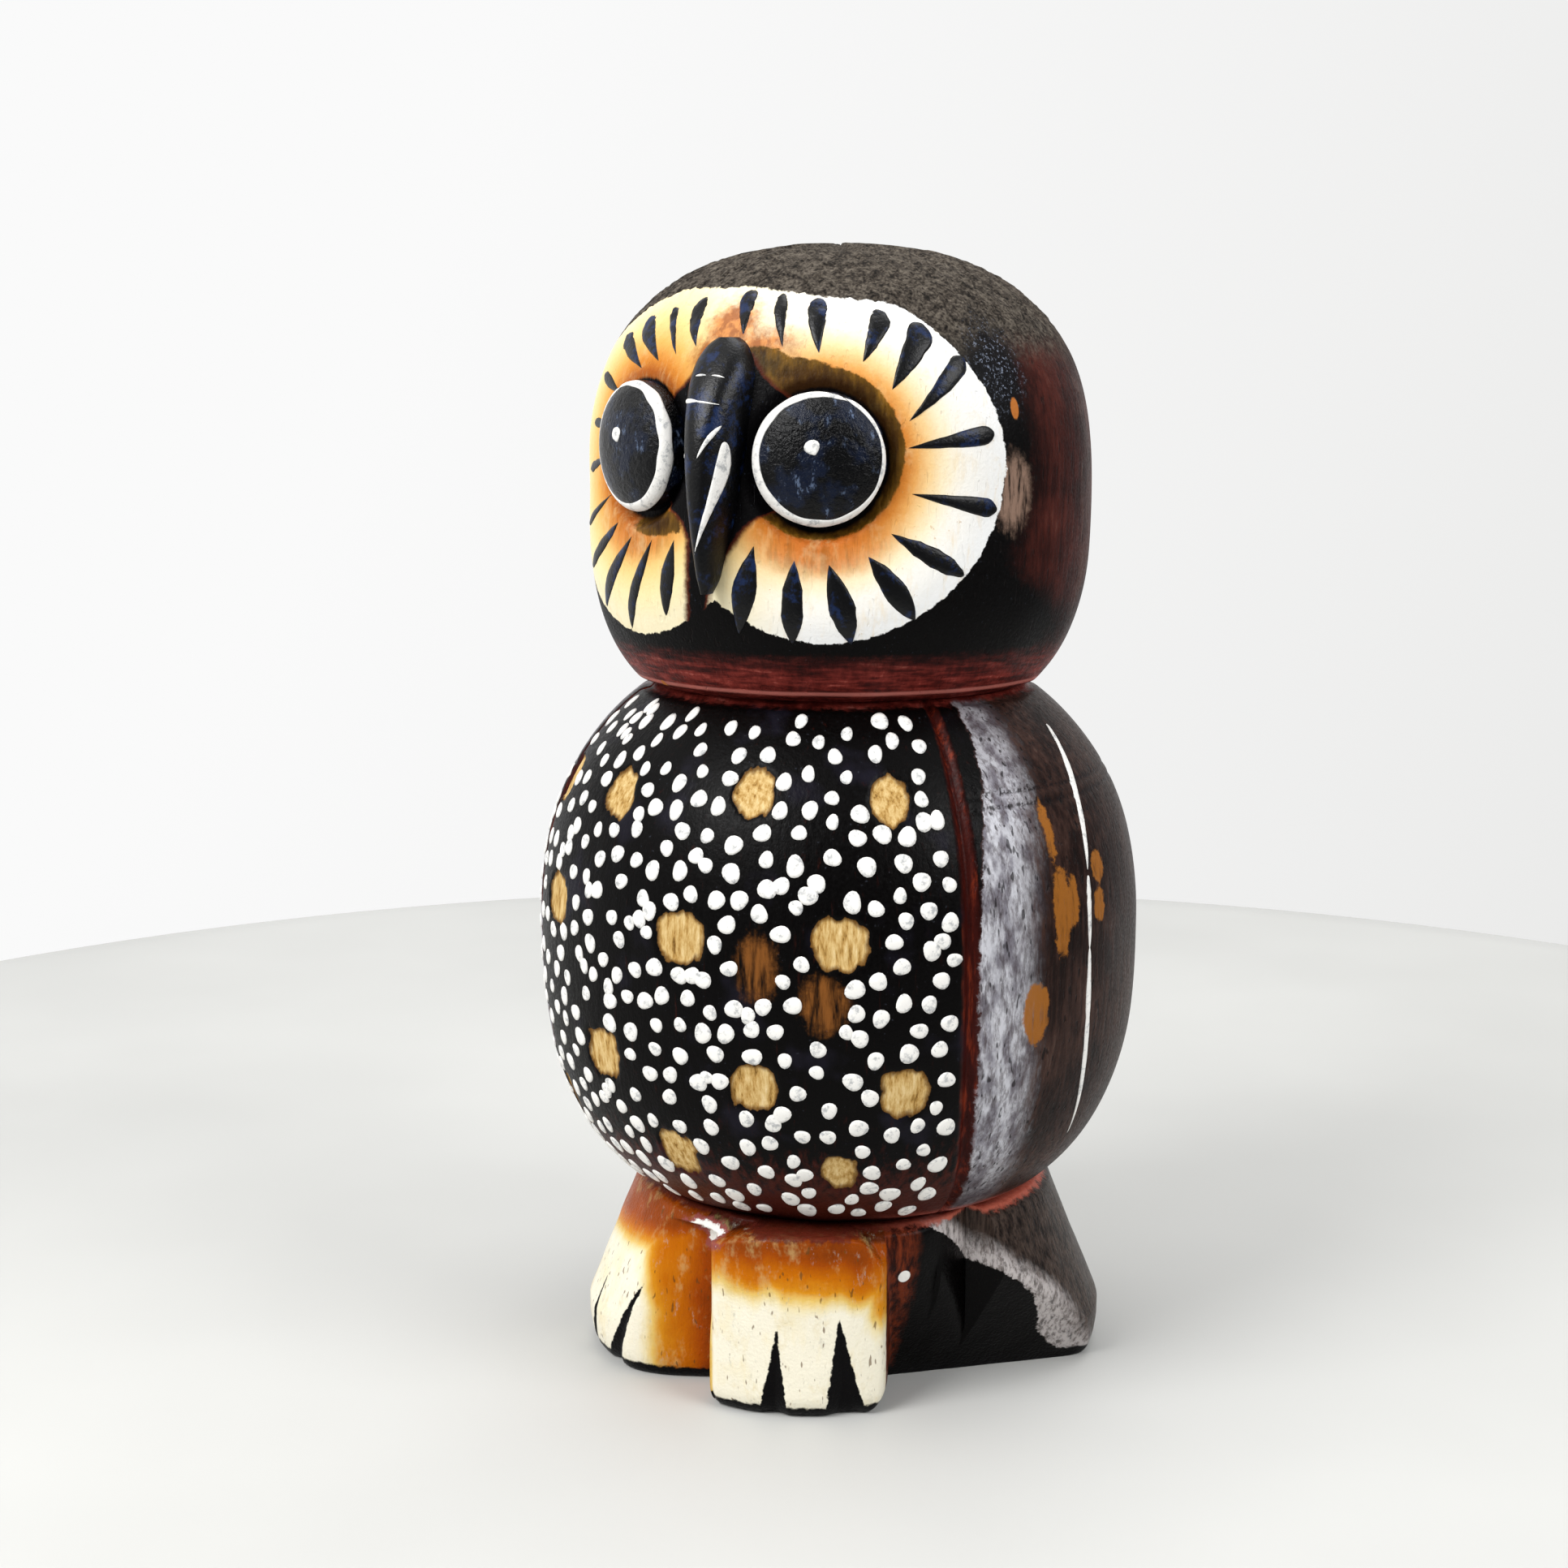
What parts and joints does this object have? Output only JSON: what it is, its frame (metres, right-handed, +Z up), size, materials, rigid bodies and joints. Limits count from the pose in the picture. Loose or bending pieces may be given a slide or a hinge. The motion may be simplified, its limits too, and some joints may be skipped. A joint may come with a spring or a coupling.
{
  "type": "carved wooden owl figurine",
  "caption": "Free-standing painted wooden owl: turned head, torso and base pegged together with dowels, with inset domed eyes and a wedge beak.",
  "frame": {"origin": "on the turning axis of the body, in the plane that the feet and tail stand on", "axes": "+Z up along the turning axis, the owl looks along -Y, +X towards the owl's left side"},
  "size_m": [0.082, 0.082, 0.15],
  "materials": {
    "head_paint": "painted, semi-gloss",
    "torso_paint": "painted, semi-gloss",
    "base_paint": "painted, semi-gloss",
    "dowel_wood": "bare",
    "eye_paint": "painted, gloss",
    "beak_paint": "painted, gloss"
  },
  "bodies": {
    "root": {"head": "head_paint", "torso": "torso_paint", "base": "base_paint", "neck_dowel": "dowel_wood", "waist_dowel": "dowel_wood", "left_eye": "eye_paint", "right_eye": "eye_paint", "beak": "beak_paint"}
  },
  "joints": []
}
